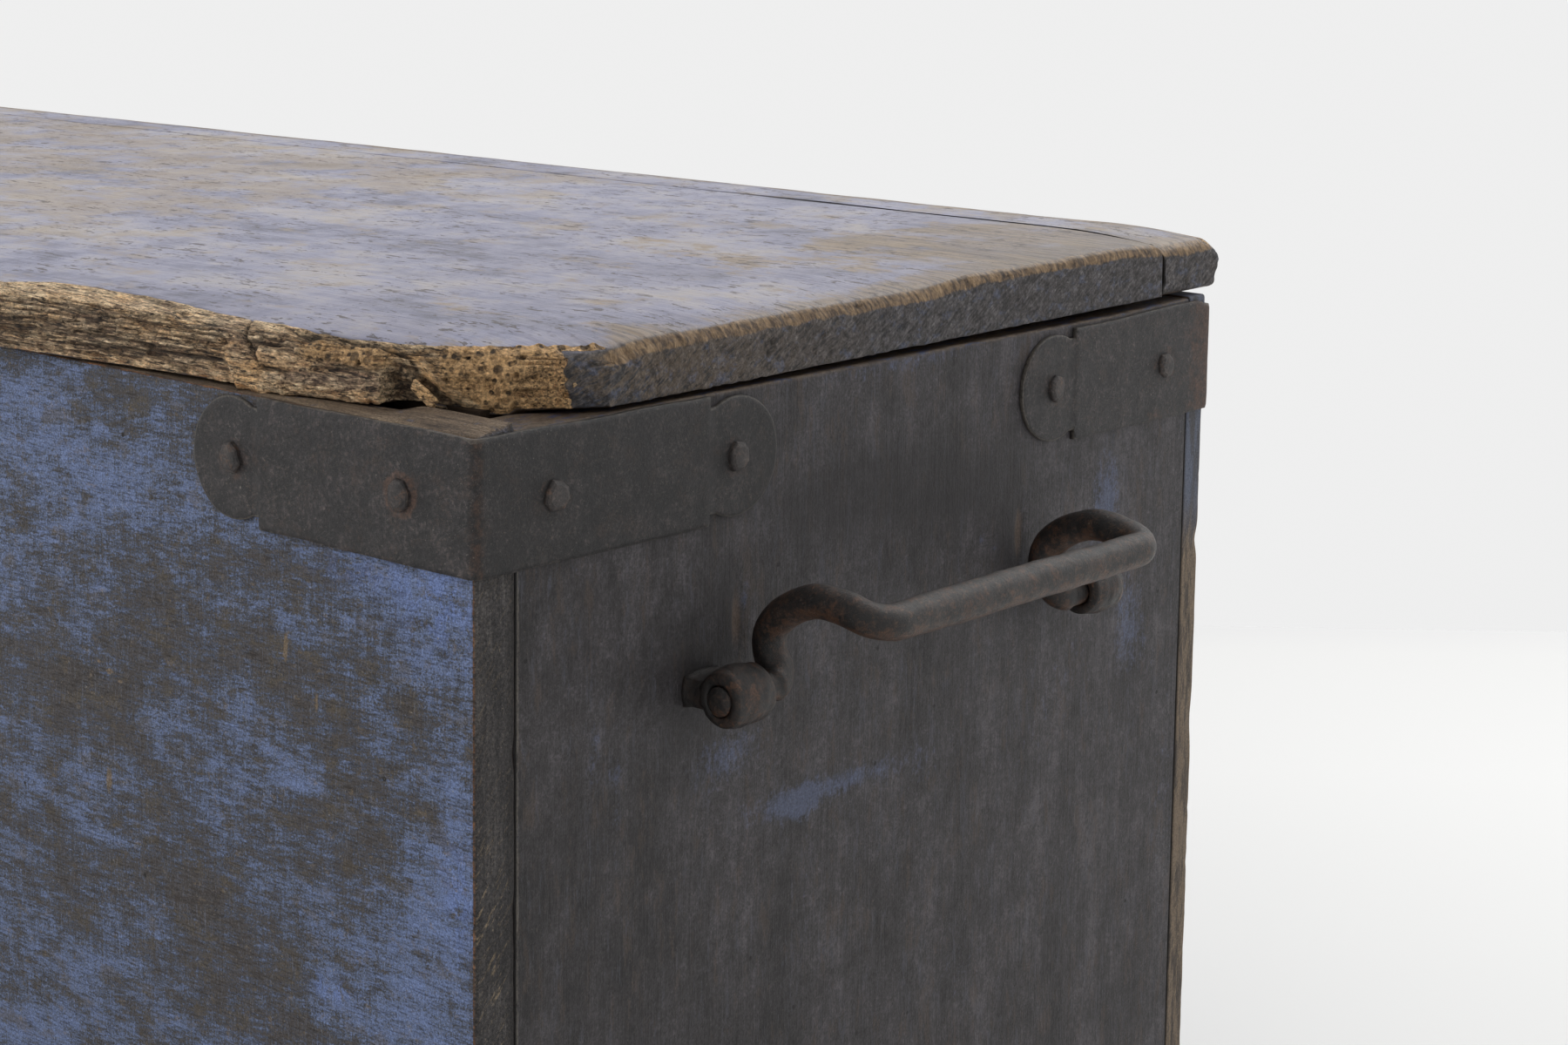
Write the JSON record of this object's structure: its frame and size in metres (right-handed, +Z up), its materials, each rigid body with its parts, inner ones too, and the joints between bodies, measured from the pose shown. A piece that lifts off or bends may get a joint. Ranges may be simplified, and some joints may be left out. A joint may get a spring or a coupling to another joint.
{
  "type": "trunk",
  "caption": "Plank trunk with a hinged lid, lobed iron corner straps and a swinging forged gooseneck handle at each end.",
  "frame": {"origin": "centre of the underside, on the floor", "axes": "+X along the length to the right-hand end, +Y to the hinged back, +Z up"},
  "size_m": [1.3332, 0.505, 0.483],
  "materials": {
    "front_paint": "blue paint worn through to dark wood",
    "back_paint": "thin dull grey-blue paint",
    "end_paint": "charcoal paint with vertical streaks",
    "bottom_wood": "bare aged wood",
    "lid_paint": "pale grey-blue paint worn to tan wood, raw worm-eaten front edge",
    "cleat_wood": "bare aged wood",
    "strap_iron": "charcoal paint over forged iron, rust at the corners",
    "nail_iron": "hammered iron, matt",
    "eye_iron": "rusty forged iron",
    "handle_iron": "rusty forged iron, rubbed grey on the grip",
    "hinge_iron": "dark forged iron"
  },
  "bodies": {
    "box": {"front_board": "front_paint", "back_board": "back_paint", "left_end_board": "end_paint", "right_end_board": "end_paint", "bottom_plank_front": "bottom_wood", "bottom_plank_middle": "bottom_wood", "bottom_plank_back": "bottom_wood", "bottom_nails": "nail_iron", "top_strap_front_right": "strap_iron", "top_strap_front_left": "strap_iron", "top_strap_back_right": "strap_iron", "top_strap_back_left": "strap_iron", "bottom_strap_front_right": "strap_iron", "bottom_strap_front_left": "strap_iron", "bottom_strap_back_right": "strap_iron", "bottom_strap_back_left": "strap_iron", "top_strap_nails": "nail_iron", "bottom_strap_nails": "nail_iron", "right_eye_front": "eye_iron", "right_eye_back": "eye_iron", "left_eye_front": "eye_iron", "left_eye_back": "eye_iron", "back_leaf_right": "hinge_iron", "back_leaf_left": "hinge_iron", "back_leaf_nails": "nail_iron", "hinge_pin_right": "hinge_iron", "hinge_pin_left": "hinge_iron"},
    "lid": {"lid_plank": "lid_paint", "lid_rear_strip": "lid_paint", "lid_cleat_right": "cleat_wood", "lid_cleat_left": "cleat_wood", "lid_cleat_nails": "nail_iron", "lid_strap_right": "hinge_iron", "lid_strap_left": "hinge_iron", "lid_strap_nails": "nail_iron"},
    "right_bail": {"right_handle": "handle_iron"},
    "left_bail": {"left_handle": "handle_iron"}
  },
  "joints": [
    {"name": "lid_hinge", "type": "hinge", "parent": "box", "child": "lid", "pos_m": [0, 0.24404, 0.45017], "axis": [-1, 0, 0], "range_deg": [0, 118]},
    {"name": "right_handle_swing", "type": "hinge", "parent": "box", "child": "right_bail", "pos_m": [0.61, 0, 0.332], "axis": [0, -1, 0], "range_deg": [-134, 13]},
    {"name": "left_handle_swing", "type": "hinge", "parent": "box", "child": "left_bail", "pos_m": [-0.61, 0, 0.332], "axis": [0, 1, 0], "range_deg": [-134, 13]}
  ]
}
